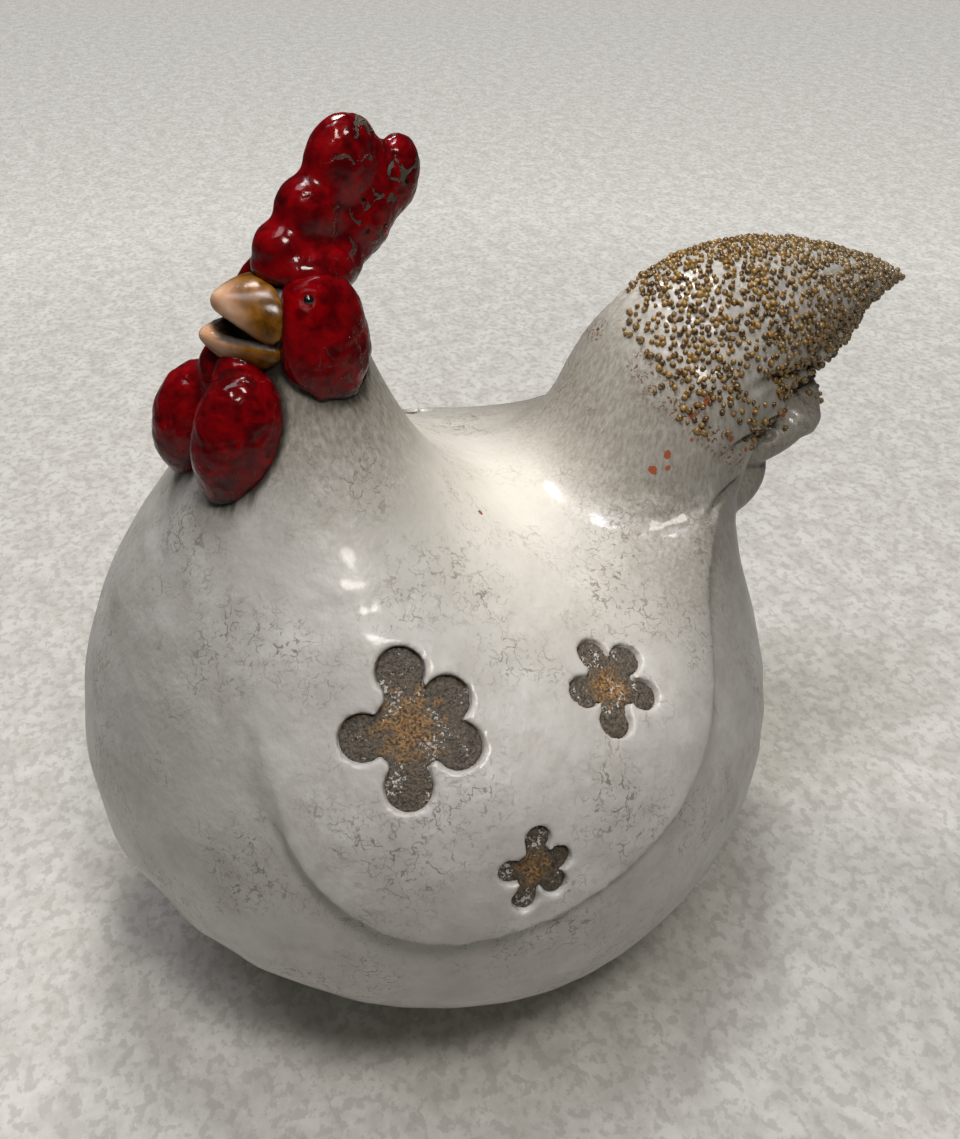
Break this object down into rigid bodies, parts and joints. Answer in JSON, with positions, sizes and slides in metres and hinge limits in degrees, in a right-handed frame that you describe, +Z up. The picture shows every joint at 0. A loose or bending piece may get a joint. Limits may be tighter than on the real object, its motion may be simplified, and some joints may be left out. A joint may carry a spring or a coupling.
{
  "type": "glazed ceramic hen ornament",
  "caption": "Round-bodied glazed stoneware hen with relief wings, sunken grit flowers, a lobed red comb and an upswept tail; stands on its flat foot.",
  "frame": {"origin": "on the table plane, under the middle of the body, at the centre of the flat foot", "axes": "-Y is the way the breast faces, +X the hen's left side, +Z up"},
  "size_m": [0.2134, 0.2687, 0.2546],
  "materials": {
    "pale_glaze": "satin crackled glaze over stoneware",
    "red_glaze": "thick glossy poured glaze",
    "ochre_glaze": "semi-gloss glaze",
    "black_glaze": "gloss glaze",
    "flower_grit": "coarse fused grit, matt with glints"
  },
  "bodies": {
    "root": {"beak_lower": "ochre_glaze", "beak_upper": "ochre_glaze", "body_shell": "pale_glaze", "comb": "red_glaze", "eye_left": "black_glaze", "eye_right": "black_glaze", "face_left": "red_glaze", "face_right": "red_glaze", "flower_front_left": "flower_grit", "flower_front_right": "flower_grit", "flower_low_left": "flower_grit", "flower_low_right": "flower_grit", "flower_rear_left": "flower_grit", "flower_rear_right": "flower_grit", "tail_roll_lower": "pale_glaze", "tail_roll_middle": "pale_glaze", "tail_roll_upper": "pale_glaze", "wattle_left": "red_glaze", "wattle_right": "red_glaze", "wing_left": "pale_glaze", "wing_right": "pale_glaze"}
  },
  "joints": []
}
